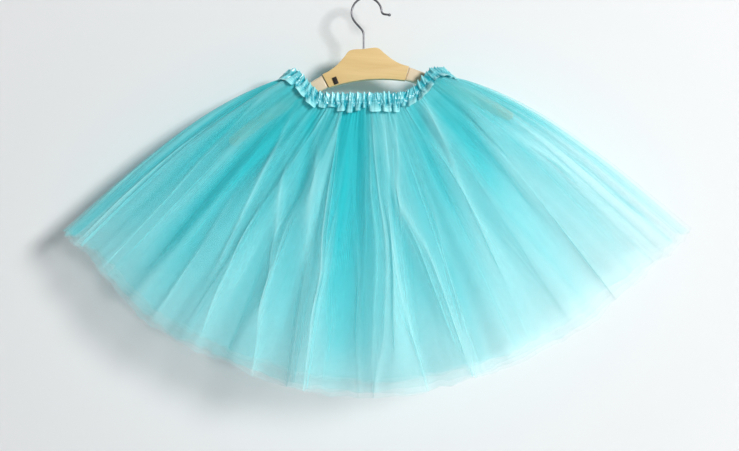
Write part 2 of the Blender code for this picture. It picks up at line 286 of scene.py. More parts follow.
# Stage
WALL_AT_HOOK = 0.030  # how far behind the hook the wall stands
WALL_LEAN = 0.100  # metres back for each metre down
WALL_HEIGHT = 2.4
FLOOR_Z = -1.05
COVE_RADIUS = 0.25
FLOOR_HALF_WIDTH = 2.8
FLOOR_FRONT = 4.3  # how far the floor comes to the front
KEY_LIGHT = (2.95, -4.6, 0.8)
BACK_LIGHT = (-0.6, 2.2, 0.6)
LIGHT_AIM = Vector((0.0, 0.0, -0.26))
LIGHT_SIZE = 1.2
AIR_COLOUR = (0.97, 0.98, 1.0, 1.0)
SEEN_SKY = 0.78  # how bright the air past the floor's end looks
EYE = Vector((0.0038, -1.70, -0.3063))
SENSOR = 0.036
VIEW_WIDTH = 0.99765  # width of the view at the skirt's middle


# Numbers and curves


def mix(start, end, share):
    return start + (end - start) * share


def smooth_step(low, high, value):
    share = np.clip((value - low) / (high - low), 0.0, 1.0)
    return share * share * (3.0 - 2.0 * share)


def by_side(pair, across):
    """A size given for the left end and the right end, at a place across the fan, -1 to 1."""
    return mix(pair[0], pair[1], (across + 1.0) / 2)


def by_face(pair, through):
    """A size given for the front and the back."""
    return np.where(through < 0.0, pair[0], pair[1])


def ring_place(station):
    """Across the fan, -1 to 1, and through its depth, -1 front to 1 back."""
    angle = np.radians(station)
    through = np.sin(angle)
    return np.cos(angle), np.copysign(np.abs(through) ** END_ROUNDNESS, through)


def reach_at(across):
    """The share of the cut length that shows, eased between the rows of REACH."""
    reach = np.full_like(across, REACH[-1][1])
    for (left, low), (right, high) in reversed(list(zip(REACH, REACH[1:]))):
        reach = np.where(across <= right, mix(low, high, smooth_step(left, right, across)), reach)
    return reach


def vectors(x, y, z):
    return np.stack(np.broadcast_arrays(x, y, z), axis=-1)


def band_point(station, share):
    """The waistband's mean surface, share 0 at its top edge and 1 at its frill's edge."""
    across, through = ring_place(station)
    middle = smooth_step(by_side(SAG_START, across), by_side(SAG_END, across), np.abs(through))
    lean = np.radians(mix(BAND_LEAN[1], BAND_LEAN[0], middle))
    size = np.hypot(across, through)
    top = vectors(
        BAND_HALF_WIDTH * across,
        by_face(BAND_DEPTH, through) * through,
        by_side(BAND_END_Z, across) - BAND_SAG * middle,
    )
    down = vectors(
        across / size * np.sin(lean), through / size * np.sin(lean), -np.cos(lean)
    )
    return top + down * (BAND_HEIGHT * share)[..., None]


def skirt_point(station, share):
    """The skirt's mean surface, share 0 at the waist seam and 1 at the hem."""
    across, through = ring_place(station)
    seam = band_point(station, np.full_like(share, SEAM_AT))
    bearing = np.radians(by_side(FAN, across)) * across
    depth = by_face(HEM_DEPTH, through) * through
    eased = share + BELLY * share * (1.0 - share)
    forward = (depth - seam[..., 1]) * eased
    rise = by_side(SHOULDER, across) * np.abs(across) ** 3
    rise = rise * np.sin(np.pi * np.clip(share, 0.0, 1.0) ** 0.7)
    length = CUT_LENGTH * reach_at(across)
    reach = np.sqrt(length**2 - (depth - seam[..., 1]) ** 2) * share
    fan = vectors(np.sin(bearing) * reach, 0.0, -np.cos(bearing) * reach)
    lift = vectors(np.cos(bearing) * across * rise, 0.0, np.abs(np.sin(bearing)) * rise)
    return seam + fan + lift + vectors(0.0, forward, 0.0)


def unit(directions):
    return directions / np.linalg.norm(directions, axis=-1, keepdims=True)


def outward_normal(surface, station, share):
    step, rise = 0.5, 0.02
    low, high = np.clip(share - rise, 0.0, None), np.clip(share + rise, None, 1.0)
    around = surface(station + step, share) - surface(station - step, share)
    down = surface(station, high) - surface(station, low)
    return unit(np.cross(down, around))


def wander(station, count, seed):
    """Smooth random values round the ring, -1 to 1, through count places."""
    values = np.random.default_rng(seed).uniform(-1.0, 1.0, count)
    place = np.mod(station / 360.0, 1.0) * count
    before = np.floor(place).astype(int)
    eased = smooth_step(0.0, 1.0, place - before)
    return mix(values[before % count], values[(before + 1) % count], eased)


def turn_from(station, centre):
    """Degrees round the ring from a centre, -180 to 180."""
    return np.mod(station - centre + 180.0, 360.0) - 180.0


def spread(share):
    """How far a straight line on the fan has turned, 0 at the waist and 1 at the hem."""
    share = np.clip(share, 0.0, None)
    return (1.0 + FAN_START) * share / (share + FAN_START)


def gathers(station, share, count, seed):
    """Uneven folds round the ring, -1 to 1, that wander sideways a little down the cloth."""
    sizes = np.random.default_rng(seed).uniform(LEAST_GATHER, 1.0, 2 * count)
    sizes[1::2] *= -1.0
    place = np.mod(station / 360.0, 1.0) * 2 * count
    place = place + GATHER_SHIFT[0] * wander(station, count // 2, seed + 1)
    drift = GATHER_SHIFT[1] * spread(share)
    place = place + drift * wander(station, 2 * (count // 6) + 1, seed + 2)
    before = np.floor(place).astype(int)
    eased = smooth_step(0.0, 1.0, place - before)
    return mix(sizes[before % (2 * count)], sizes[(before + 1) % (2 * count)], eased)


def flutes(station):
    """The main flutes of the frame, -1 to 1 of a millimetre scale, in metres at the hem."""
    places, heights = [], []
    for i, (crest, depth) in enumerate(FLUTES):
        after, next_depth = FLUTES[(i + 1) % len(FLUTES)]
        width = (after - crest) % 360.0
        places += [crest, crest + width / 2]
        heights += [depth / 2, -(depth + next_depth) / 4]
    places.append(360.0)
    heights.append(heights[0])
    turned = np.mod(station, 360.0)
    at = np.clip(np.searchsorted(places, turned, side="right") - 1, 0, len(places) - 2)
    places, heights = np.array(places), np.array(heights)
    eased = smooth_step(0.0, 1.0, (turned - places[at]) / (places[at + 1] - places[at]))
    return mix(heights[at], heights[at + 1], eased)


def crease_rows():
    """The listed creases, and like ones on the hidden side."""
    rows = list(CREASES)
    chance = np.random.default_rng(41)
    for station in OTHER_SIDE:
        waist = station + chance.uniform(-4.0, 4.0)
        hem = station + chance.uniform(-4.0, 4.0)
        up = 1.0 if chance.random() < RIDGE_CHANCE else -1.0
        left, right = chance.uniform(0.4, 2.4, 2)
        height, tone = chance.uniform(3.0, 6.5), chance.uniform(0.22, 0.55)
        start, end = chance.uniform(-0.2, 0.3), chance.uniform(0.8, 1.3)
        # by the sign of up, a ridge gets a painted highlight and a trough painted shade
        rows.append((waist, hem, left, right, up * height, up * tone, start, end))
    return rows


def pleat_rows(seed, height):
    """Small pleats all round, as rows like those of the creases."""
    rows = []
    chance = np.random.default_rng(seed)
    for i in range(PLEATS):
        waist = 360.0 * i / PLEATS + chance.uniform(-4.0, 4.0)
        hem = waist + chance.uniform(-7.0, 7.0)
        left, right = 0.3, chance.uniform(1.2, 3.6)
        if chance.random() < 0.5:
            left, right = right, left
        up = chance.uniform(-1.0, 1.0)
        start, end = chance.uniform(-0.3, 0.5), chance.uniform(0.7, 1.4)
        # a raised pleat gets a painted highlight, a sunken one painted shade
        rows.append((waist, hem, left, right, up * height, up * PLEAT_PAINTED_LIGHT, start, end))
    return rows


def bump_of(row, station, share):
    """Where a crease is, the distance from it in degrees, and how strong it is, 0 to 1."""
    waist, hem, left, right, _, _, start, end = row
    centre = mix(waist, hem, spread(share))
    away = turn_from(station, centre)
    widen = mix(CREASE_AT_WAIST, 1.0, np.clip(share, 0.0, 1.0) ** 0.7)
    near = np.nonzero(np.abs(away) < CREASE_REACH * max(left, right) * widen)
    away, share, widen = away[near], share[near], widen[near]
    bump = np.exp(-((away / (np.where(away < 0.0, left, right) * widen)) ** 2))
    bump = bump * smooth_step(start, start + CREASE_FADES[0], share)
    return near, away, bump * (1.0 - smooth_step(end - CREASE_FADES[1], end, share))


# Meshes


def finish_mesh(shape, name):
    """The bmesh as a new smooth object at the origin, with its faces pointing out."""
    bmesh.ops.remove_doubles(shape, verts=shape.verts, dist=1e-6)
    bmesh.ops.recalc_face_normals(shape, faces=shape.faces)
    mesh = bpy.data.meshes.new(name)
    shape.to_mesh(mesh)
    shape.free()
    mesh.shade_smooth()
    return add_object(name, mesh)


def add_object(name, data):
    added = bpy.data.objects.new(name, data)
    bpy.context.scene.collection.objects.link(added)
    return added


def stand_for(piece, node):
    """The piece takes the place of a node of the frame: the node is hidden and the piece is
    attached to the root body.
    """
    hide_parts(node)
    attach(piece, "root")


def edges_of(made):
    return [part for part in made if isinstance(part, bmesh.types.BMEdge)]


def draw_edges(shape, edges, step):
    """Draws edges out by a step, and gives the new ones."""
    made = bmesh.ops.extrude_edge_only(shape, edges=edges)["geom"]
    points = [part for part in made if isinstance(part, bmesh.types.BMVert)]
    bmesh.ops.translate(shape, verts=points, vec=step)
    return edges_of(made)


def cloth_tube(name, columns, rows, place, cut):
    """A grid laid round the ring by place(station, share) and closed along its side seam.

    place gives each vertex its point and its named values. The UV map is in metres on the flat
    cut, which is cut[0] round and cut[1] long.
    """
    shape = bmesh.new()
    shape.loops.layers.uv.new("Flat cut")
    bmesh.ops.create_grid(
        shape, x_segments=columns, y_segments=rows, size=0.5, calc_uvs=True
    )
    mesh = bpy.data.meshes.new(name)
    shape.to_mesh(mesh)
    flat = np.empty(len(mesh.vertices) * 3, np.float32)
    mesh.vertices.foreach_get("co", flat)
    across, along = flat.reshape(-1, 3)[:, 0] + 0.5, flat.reshape(-1, 3)[:, 1] + 0.5
    points, values = place(360.0 * across.astype(float), along.astype(float))
    mesh.vertices.foreach_set("co", points.astype(np.float32).ravel())
    for value_name, value in values.items():
        layer = mesh.attributes.new(value_name, "FLOAT", "POINT")
        layer.data.foreach_set("value", value.astype(np.float32))
    corners = np.empty(len(mesh.loops) * 2, np.float32)
    mesh.uv_layers[0].data.foreach_get("uv", corners)
    corners = corners.reshape(-1, 2) * np.array(cut, np.float32)
    mesh.uv_layers[0].data.foreach_set("uv", corners.ravel())
    shape.clear()
    shape.from_mesh(mesh)
    bpy.data.meshes.remove(mesh)
    return finish_mesh(shape, name)


def fullness(place_point, station, share):
    """How much steeper than the mean surface the folded cloth stands, 1 where it lies flat."""
    turn, drop = 0.1, 0.004
    around = place_point(station + turn, share) - place_point(station - turn, share)
    share = np.clip(share, drop, None)
    down = place_point(station, share + drop) - place_point(station, share - drop)
    mean_around = skirt_point(station + turn, share) - skirt_point(station - turn, share)
    mean_down = skirt_point(station, share + drop) - skirt_point(station, share - drop)
    facing = unit(np.cross(mean_down, mean_around))
    across = np.abs((unit(np.cross(down, around)) * facing).sum(-1))
    return 1.0 / np.clip(across, STEEPEST, 1.0)


# Finishes


class Value:
    """A shader socket in an expression: each operator adds its Math node."""

    def __init__(self, finish, socket):
        self.finish, self.socket = finish, socket

    def maths(self, operation, first, second):
        node = self.finish.node("ShaderNodeMath", {"operation": operation}, {0: first, 1: second})
        return Value(self.finish, node.outputs[0])

    def __add__(self, other):
        return self.maths("ADD", self, other)

    __radd__ = __add__

    def __sub__(self, other):
        return self.maths("SUBTRACT", self, other)

    def __rsub__(self, other):
        return self.maths("SUBTRACT", other, self)

    def __mul__(self, other):
        return self.maths("MULTIPLY", self, other)

    __rmul__ = __mul__

    def __rpow__(self, other):
        return self.maths("POWER", other, self)

    def sine(self):
        return self.maths("SINE", self, 0.0)

    def clipped(self):
        node = self.finish.node("ShaderNodeClamp", {}, {"Value": self})
        return Value(self.finish, node.outputs[0])


class Finish:
    """The nodes of a material, or of the air round the tutu, as they are added."""

    def __init__(self, owner):
        owner.use_nodes = True
        self.owner = owner
        self.tree = owner.node_tree
        self.tree.nodes.clear()

    def node(self, kind, settings, inputs):
        """Adds a node: its settings first, then its sockets."""
        made = self.tree.nodes.new(kind)
        for name, value in settings.items():
            setattr(made, name, value)
        for name, value in inputs.items():
            socket = made.inputs[name]
            if isinstance(value, Value):
                self.tree.links.new(value.socket, socket)
            elif isinstance(value, bpy.types.NodeSocket):
                self.tree.links.new(value, socket)
            else:
                socket.default_value = value
        return made

    def attribute(self, name):
        node = self.node("ShaderNodeAttribute", {"attribute_name": name}, {})
        return Value(self, node.outputs["Fac"])

    def noise(self, vector, scale, detail=2.0, roughness=0.5):
        sockets = {"Vector": vector, "Scale": scale, "Detail": detail, "Roughness": roughness}
        return Value(self, self.node("ShaderNodeTexNoise", {}, sockets).outputs["Fac"])

    def scaled(self, vector, factors):
        """A vector, each of its parts times a number."""
        settings, sockets = {"operation": "MULTIPLY"}, {0: vector, 1: factors}
        return self.node("ShaderNodeVectorMath", settings, sockets).outputs[0]

    def blend(self, factor, first, second):
        """A colour from first to second by factor."""
        inputs = {"Factor": factor, 6: first, 7: second}
        return self.node("ShaderNodeMix", {"data_type": "RGBA"}, inputs).outputs[2]

    def surface(self, sockets):
        return self.node("ShaderNodeBsdfPrincipled", {}, sockets).outputs[0]

    def place(self):
        return self.node("ShaderNodeTexCoord", {}, {}).outputs["Object"]

    def flat_cut(self):
        return self.node("ShaderNodeUVMap", {}, {}).outputs["UV"]

    def bump(self, height, strength, distance):
        sockets = {"Strength": strength, "Distance": distance, "Height": height}
        return self.node("ShaderNodeBump", {}, sockets).outputs[0]

    def either(self, factor, first, second):
        """A shader from first to second by factor."""
        return self.node("ShaderNodeMixShader", {}, {0: factor, 1: first, 2: second}).outputs[0]

    def output(self, shader, kind="ShaderNodeOutputMaterial"):
        self.node(kind, {}, {"Surface": shader})
        return self.owner


def new_finish(name):
    return Finish(bpy.data.materials.new(name))


def colour4(colour):
    return (*colour[:3], 1.0)


def tulle_finish(name, deep, pale, settings):
    """Fine net: how solid it looks follows how full the cloth is gathered at each place."""
    finish = new_finish(name)
    flat = finish.flat_cut()
    streaks = finish.noise(finish.scaled(flat, (1.0, 0.02, 1.0)), 130.0, 3.0, 0.6)
    crumple = finish.noise(finish.scaled(flat, (1.0, 0.45, 1.0)), 70.0, 3.0, 0.55)
    parts = finish.node("ShaderNodeSeparateXYZ", {}, {"Vector": flat})
    around, down = Value(finish, parts.outputs[0]), Value(finish, parts.outputs[1])
    cells = 2 * math.pi / settings.net_cell
    slant = math.sqrt(3.0) / 2
    net = (
        (around * cells).sine()
        + (around * (-cells / 2) + down * (cells * slant)).sine()
        + (around * (-cells / 2) - down * (cells * slant)).sine()
    )
    # the tone attribute is painted light and shade of the folds, creases, waist and sides; streaks
    # and crumples vary it at random
    tone = finish.attribute("tone") + (streaks - 0.5) * 0.22 + (crumple - 0.5) * 0.24
    density = finish.attribute("gathered") * (0.55 + streaks * 0.50 + crumple * 0.40)
    density = density * (1.0 + net * 0.08)
    solid = 1.0 - (1.0 - settings.thread_cover) ** density
    colour = finish.blend(tone.clipped(), colour4(deep), colour4(pale))
    cloth = finish.surface(
        {
            "Base Color": colour,
            "Roughness": 0.62,
            "Specular IOR Level": 0.25,
            "Sheen Weight": 0.25,
            "Sheen Roughness": 0.4,
        }
    )
    glow = [mix(low, high, GLOW_PALENESS) for low, high in zip(deep, pale)]
    through = finish.node("ShaderNodeBsdfTranslucent", {}, {"Color": colour4(glow)})
    threads = finish.either(settings.light_through, cloth, through.outputs[0])
    holes = finish.node("ShaderNodeBsdfTransparent", {}, {})
    return finish.output(finish.either(solid.clipped(), holes.outputs[0], threads))


def satin_finish(settings):
    finish = new_finish("Aqua satin")
    flat = finish.flat_cut()
    weave = finish.noise(finish.scaled(flat, (1.0, 0.12, 1.0)), 2600.0, 2.0, 0.5)
    slubs = finish.noise(finish.scaled(flat, (0.2, 1.0, 1.0)), 320.0, 2.0, 0.5)
    # the tone attribute is painted light and shade of the strip's folds; the slubs vary it at
    # random
    tone = (finish.attribute("tone") + (slubs - 0.5) * 0.22).clipped()
    colour = finish.blend(tone, colour4(settings.satin_deep), colour4(settings.satin_pale))
    cloth = finish.surface(
        {
            "Base Color": colour,
            "Roughness": 0.19 + slubs * 0.16,
            "Specular IOR Level": 0.9,
            "Sheen Weight": 0.3,
            "Sheen Roughness": 0.3,
            "Normal": finish.bump(weave, 0.22, 0.0002),
        }
    )
    return finish.output(cloth)


def wood_finish(name, pale, dark, polish, along):
    """Straight-grained wood: along is the grain's direction, degrees below level."""
    finish = new_finish(name)
    place = finish.place()
    turned = finish.node(
        "ShaderNodeMapping", {}, {"Vector": place, "Rotation": (0.0, math.radians(along), 0.0)}
    ).outputs[0]
    figure = finish.noise(finish.scaled(turned, (4.0, 60.0, 60.0)), 1.0, 3.0, 0.55)
    fine = finish.noise(finish.scaled(turned, (18.0, 520.0, 520.0)), 1.0, 3.0, 0.6)
    pores = finish.noise(finish.scaled(turned, (60.0, 1500.0, 1500.0)), 1.0, 1.0, 0.5)
    tone = (figure * 0.9 + fine * 0.45 - 0.28).clipped()
    colour = finish.blend(tone, colour4(pale), colour4(dark))
    wood = finish.surface(
        {
            "Base Color": colour,
            "Roughness": polish + fine * 0.16,
            "Coat Weight": 0.25,
            "Coat Roughness": 0.25,
            "Normal": finish.bump(fine + pores * 0.5, 0.12, 0.0003),
        }
    )
    return finish.output(wood)


def steel_finish(settings):
    finish = new_finish("Hook steel")
    wear = finish.noise(finish.place(), 260.0, 4.0, 0.6)
    colour = finish.blend(
        (wear * 1.6 - 0.3).clipped(),
        colour4(settings.steel_colour),
        colour4([part * 1.9 for part in settings.steel_colour]),
    )
    wire = finish.surface(
        {"Base Color": colour, "Metallic": 1.0, "Roughness": 0.24 + wear * 0.2}
    )
    return finish.output(wire)


# Tulle


def tulle_layer(layer, settings):
    """place(station, row) for one sheet of the tulle: its points and their named values."""
    creases = crease_rows() + pleat_rows(77, PLEAT_HEIGHT)
    own_pleats = pleat_rows(80 + layer, OWN_PLEAT_HEIGHT)
    shorter = 1.0 - LAYER_SHORTER * layer / CUT_LENGTH
    calm = 1.0 - FLUTE_CALM * layer
    under = UNDER_BAND / CUT_LENGTH

    def mean(station, share):
        """The skirt's mean surface, carried up under the waistband."""
        point = skirt_point(station, np.clip(share, 0.0, None))
        up = SEAM_AT + np.clip(share, None, 0.0) * CUT_LENGTH / BAND_HEIGHT
        return point + band_point(station, up) - band_point(station, np.full_like(up, SEAM_AT))

    def shaped(station, share):
        """How far the cloth is moved: out along the normal, sideways in degrees, and its tone, the
        painted light and shade of its folds and creases.
        """
        low = np.clip(share, 0.0, 1.0)
        out = flutes(station) * mix(FLUTE_START * low**0.2, 1.0, low) * calm
        folds = gathers(station, low, MAIN_FOLDS, 5)
        small = gathers(station, low, SMALL_FOLDS, 9)
        own = gathers(station, low, OWN_FOLDS, 100 + 10 * layer)
        tucks = gathers(station, low * 0.4, WAIST_TUCKS, 13)
        reach = TUCK_REACH[0] + TUCK_REACH[1] * wander(station, 90, 17)
        fading = np.exp(-((low / reach) ** 1.3))
        room = mix(LAYER_GAP_WAIST, LAYER_GAP_HEM, low)
        opening = mix(0.2, 1.0, smooth_step(0.0, 0.4, low)) * mix(1.0, 0.8, low)
        out = out + settings.fold_height * (
            MAIN_HEIGHT * folds * opening
            + SMALL_HEIGHT * small * mix(0.4, 1.0, low)
            + TUCK_HEIGHT * tucks * fading
            + OWN_HEIGHT * room * own
        )
        sideways = OWN_SWAY * own
        # folds that stand out get a painted highlight, folds that lie back painted shade
        tone = MAIN_FOLD_PAINTED_LIGHT * folds * mix(0.6, 1.0, low) + SMALL_FOLD_PAINTED_LIGHT * small * low + OWN_FOLD_PAINTED_LIGHT * own
        for row in creases + own_pleats:
            near, away, bump = bump_of(row, station, share)
            height, pale = row[4:6]
            risen = mix(CREASE_RISE_AT_WAIST, 1.0, low[near]) * (1.0 - CREASE_CALM * layer)
            out[near] += bump * height * MM * risen
            if height > 0.0:
                sideways[near] -= CREASE_PULL * away * bump
            # painted light: a ridge's paleness is a painted highlight, a trough's deepness painted
            # shade
            tone[near] += pale * bump
        return out, sideways, tone

    def place_point(station, share):
        out, sideways, tone = shaped(station, share)
        moved = station + sideways
        ragged = 1.0 + RAGGED_COARSE * wander(moved, 60, 23 + layer)
        ragged = ragged + RAGGED_FINE * wander(moved, 240, 29)
        down = share * shorter * mix(1.0, ragged, share)
        low = np.clip(down, 0.0, 1.0)
        normal = outward_normal(mean, moved, low)
        inward = layer * mix(LAYER_GAP_WAIST, LAYER_GAP_HEM, low)
        return mean(moved, down) + normal * (out - inward)[..., None]

    def place(station, row):
        share = mix(-under, 1.0, row)
        tone = shaped(station, share)[2]
        steep = fullness(place_point, station, share)
        low = np.clip(share, 0.0, 1.0)
        gathered = settings.cut_width / mix(ROUND_WAIST, ROUND_HEM, low**0.85)
        # painted shade: deeper in colour towards the waist, where the gathers crowd, paler towards
        # the hem
        base = mix(settings.tone_waist, settings.tone_hem, low**1.3)
        across = np.cos(np.radians(station))
        left = across < 0.0
        end = smooth_step(0.90, 1.0, np.abs(across)) * smooth_step(0.0, 0.25, low)
        end = end * np.where(left, *END_THINNING)
        side = np.abs(across) ** np.where(left, 1.0, 1.5) * np.where(left, *SIDE_THINNING)
        thin = (1.0 - end) * (1.0 - HEM_THINNING * smooth_step(0.70, 1.0, low))
        thin = thin * (1.0 - side * smooth_step(0.05, 0.5, low))
        # painted light from the right: paler towards the right end, darker towards the left
        base = base + np.where(left, *SIDE_PAINTED_LIGHT) * across * mix(0.3, 1.0, low)
        ridge, trough = np.clip(tone, 0.0, 0.6), np.clip(-tone, 0.0, 0.6)
        full = 1.0 + RIDGE_FULLNESS * ridge + TROUGH_FULLNESS * trough
        full = full * mix(1.0, steep, STEEP_SHARE)
        # tone carries the sheet's painted light and shade
        values = {"gathered": gathered * thin * full, "tone": base + tone}
        return place_point(station, share), values

    return place


def build_tulle(settings):
    outer = (settings.tulle_deep, settings.tulle_pale)
    # the inner sheets take darker colours, painted shade from the sheet in front
    inner = (settings.inner_deep, settings.inner_pale)
    cut = (settings.cut_width, CUT_LENGTH)
    for layer, (word, tones) in enumerate((("outer", outer), ("middle", inner), ("inner", inner))):
        place = tulle_layer(layer, settings)
        sheet = cloth_tube(f"tulle_sheet_{word}", settings.columns, settings.rows, place, cut)
        sheet.data.materials.append(tulle_finish(f"Aqua tulle {layer + 1}", *tones, settings))
        stand_for(sheet, f"tulle_{word}")


# Waistband


def panel_rows():
    """The frill's panels at the front, and like ones at the back."""
    rows = list(FRILL_PANELS)
    chance = np.random.default_rng(7)
    for station in OTHER_PANELS:
        middle = station + chance.uniform(-2.0, 2.0)
        half, out = chance.uniform(2.2, 6.0), chance.uniform(1.0, 4.0)
        rows.append((middle, half, out, chance.uniform(0.1, 1.0)))
    return rows


def tuck_rows():
    """Short sharp tucks all over the strip: station, lean, half width, middle, reach, depth."""
    chance = np.random.default_rng(63)
    rows = []
    for i in range(BAND_TUCKS):
        station = 360.0 * (i + chance.uniform(-0.8, 0.8)) / BAND_TUCKS
        lean, half = chance.uniform(-7.0, 7.0), chance.uniform(0.35, 0.9)
        middle, reach = chance.uniform(0.0, 0.75), chance.uniform(0.16, 0.42)
        rows.append((station, lean, half, middle, reach, chance.uniform(0.5, 1.7)))
    return rows


def band_layer():
    """The strip goes from its inner edge up, over the elastic, and down to the frill's edge."""
    panels = panel_rows()
    tucks = tuck_rows()
    clear = (TULLE_WALL + BAND_WALL) / 2 + 4 * GAP

    def place(station, strip):
        inside = strip < TURN_START
        outside = strip > TURN_END
        turn = np.clip((strip - TURN_START) / (TURN_END - TURN_START), 0.0, 1.0)
        share = np.where(inside, mix(INNER_EDGE, 0.0, strip / TURN_START), 0.0)
        share = np.where(outside, (strip - TURN_END) / (1.0 - TURN_END), share)
        side = np.where(inside, -1.0, np.where(outside, 1.0, -np.cos(np.pi * turn)))
        puffs = gathers(station, share * 0.3, BAND_PUFFS, 51)
        pleats = gathers(station, share * 0.6, BAND_PLEATS, 57)
        round_puff = 1.0 - np.abs(puffs) ** 1.6
        casing = 1.0 - smooth_step(*CASING_END, share)
        stitched = np.exp(-(((share - STITCH_LINE) / STITCH_WIDTH) ** 2))
        frill = smooth_step(0.40, 1.0, share) * (side > 0.0)
        out = clear + side * (0.0007 + CASING_FULL * casing * (1.0 - stitched))
        out = out + (PUFF_HEIGHT * puffs + FINE_HEIGHT * pleats) * mix(1.0, 0.5, share)
        out = out + PUFF_ROUND * side * round_puff * casing
        # puffs and fine pleats that stand out get a painted highlight, the gathers between them
        # painted shade
        tone = BAND_TONE + PUFF_PAINTED_LIGHT * puffs * casing + FINE_PLEAT_PAINTED_LIGHT * pleats
        sideways = np.zeros_like(station)
        for middle, lean, half, height, reach, depth in tucks:
            away = turn_from(station + lean * (share - height), middle)
            near = np.nonzero(np.abs(away) < CREASE_REACH * half)
            tuck = np.exp(-((away[near] / half) ** 2) - ((share[near] - height) / reach) ** 2)
            out[near] -= MM * depth * tuck * mix(1.0, TUCK_EASE_AT_FRILL, frill[near])
            # painted shade in each tuck
            tone[near] -= TUCK_PAINTED_SHADE * depth * tuck
        drop = np.zeros_like(station)
        across = np.abs(np.cos(np.radians(station)))
        lying = 1.0 - LYING_ENDS * smooth_step(0.80, 1.0, across)
        for middle, half, stands, low in panels:
            away = turn_from(station, middle)
            flatness = np.exp(-((away / half) ** 6))
            edge = np.exp(-(((np.abs(away) - half) / PANEL_EDGE) ** 2))
            out = out + frill * lying * (PANEL_LIFT * stands * flatness - EDGE_DEPTH * edge)
            drop = np.maximum(drop, low * np.exp(-((away / (half * 1.05)) ** 6)))
            # flat panels get a painted highlight and their edges painted shade
            pale = PANEL_PAINTED_HIGHLIGHT[0] + PANEL_PAINTED_HIGHLIGHT[1] * stands
            tone = tone + frill * (pale * flatness - EDGE_PAINTED_SHADE * edge)
            sideways = sideways + frill * 0.25 * away * flatness
        drop = drop + 0.06 * wander(station, 90, 61)
        share = share - frill * FRILL_SHORT * (1.0 - drop)
        out = out + lying * BAND_FLARE * share * share * (side > 0.0)
        top_edge = TOP_RISE[0] * puffs + TOP_RISE[1] * pleats
        top_edge = (1.0 - smooth_step(0.0, 0.25, share)) * top_edge
        moved = station + sideways
        normal = outward_normal(band_point, moved, share)
        rolled = TOP_ROLL * np.sin(np.pi * turn)
        point = band_point(moved, share) + normal * out[..., None]
        point = point + vectors(0.0, 0.0, top_edge + rolled - END_DROP * frill * (1.0 - lying))
        # painted shade along the stitching and on the inner side of the strip
        return point, {"tone": tone - STITCH_PAINTED_SHADE * stitched - INSIDE_PAINTED_SHADE * (side < 0.0)}

    return place


def build_waistband(settings):
    cut = (settings.band_cut, settings.band_strip)
    columns, rows = settings.band_columns, settings.band_rows
    band = cloth_tube("satin_waistband", columns, rows, band_layer(), cut)
    band.data.materials.append(satin_finish(settings))
    stand_for(band, "waistband")


# Hanger


def arc_points(centre, radius, start, end, steps):
    angles = [math.radians(mix(start, end, i / steps)) for i in range(steps + 1)]
    return [(centre[0] + radius * math.cos(a), centre[1] + radius * math.sin(a)) for a in angles]


def eased_line(points, steps):
    """Points on a smooth line through the given ones."""
    line = []
    padded = [points[0], *points, points[-1]]
    for before, start, end, after in zip(padded, padded[1:], padded[2:], padded[3:]):
        before, start, end, after = (Vector(p) for p in (before, start, end, after))
        for i in range(steps):
            t = i / steps
            square = (2 * before - 5 * start + 4 * end - after) * t**2
            cube = (3 * start - before - 3 * end + after) * t**3
            line.append((2 * start + (end - before) * t + square + cube) / 2)
    return [tuple(p) for p in line] + [tuple(points[-1])]


def hanger_place():
    turn = Matrix.Rotation(-math.radians(HANGER_TILT), 4, "Y")
    return Matrix.Translation((NECK_X, 0.0, HANGER_TOP_Z)) @ turn


def board(name, outline, thickness, edge, segments, middle_y=0.0):
    """A flat board cut to an outline in the XZ plane, its long edges rounded."""
    shape = bmesh.new()
    front = middle_y - thickness / 2
    face = shape.faces.new([shape.verts.new((x, front, z)) for x, z in outline])
    back = bmesh.ops.extrude_face_region(shape, geom=[face])["geom"]
    moved = [part for part in back if isinstance(part, bmesh.types.BMVert)]
    bmesh.ops.translate(shape, verts=moved, vec=(0.0, thickness, 0.0))
    bmesh.ops.recalc_face_normals(shape, faces=shape.faces)
    rims = [e for e in shape.edges if abs(e.verts[0].co.y - e.verts[1].co.y) < thickness / 2]
    bmesh.ops.bevel(
        shape,
        geom=rims,
        offset=edge,
        offset_type="OFFSET",
        segments=segments,
        profile=0.5,
        affect="EDGES",
        material=-1,
        clamp_overlap=True,
    )
    bmesh.ops.transform(shape, matrix=hanger_place(), verts=shape.verts)
    piece = finish_mesh(shape, name)
    piece.data.set_sharp_from_angle(angle=math.radians(40.0))
    return piece


def block_outline():
    top = eased_line([(0.0, 0.0), *[row[:2] for row in BLOCK_OUTLINE[1:]], JOINT_TOP], 5)[1:]
    bottom = [(out, low) for out, high, low in BLOCK_OUTLINE] + [JOINT_BOTTOM]
    bottom = eased_line(bottom, 4)
    right = top + bottom[::-1]
    left = [(-x, z) for x, z in bottom[1:]] + [(-x, z) for x, z in top[::-1]]
    return right + left + [(0.0, 0.0)]


def arm_outline(side):
    middles = [Vector((out, middle)) for out, middle, half in ARM_SECTIONS] + [Vector(ARM_END)]
    halves = [half for out, middle, half in ARM_SECTIONS]
    upper = [(JOINT_TOP[0] + GAP, JOINT_TOP[1] - ARM_STEP_IN)]
    lower = [(JOINT_BOTTOM[0] + GAP, JOINT_BOTTOM[1] + ARM_STEP_IN)]
    for here, after, half in zip(middles, middles[1:], halves):
        along = (after - here).normalized()
        across = half * Vector((-along.y, along.x))
        upper.append(tuple(here + across))
        lower.append(tuple(here - across))
    slope = math.degrees(math.atan2(along.y, along.x))
    end = arc_points(ARM_END, ARM_END_RADIUS, slope + 90.0, slope - 90.0, 20)
    upper, lower = eased_line(upper + end[:1], 6), eased_line(lower + end[-1:], 6)
    return [(side * x, z) for x, z in upper + end[1:-1] + lower[::-1]]


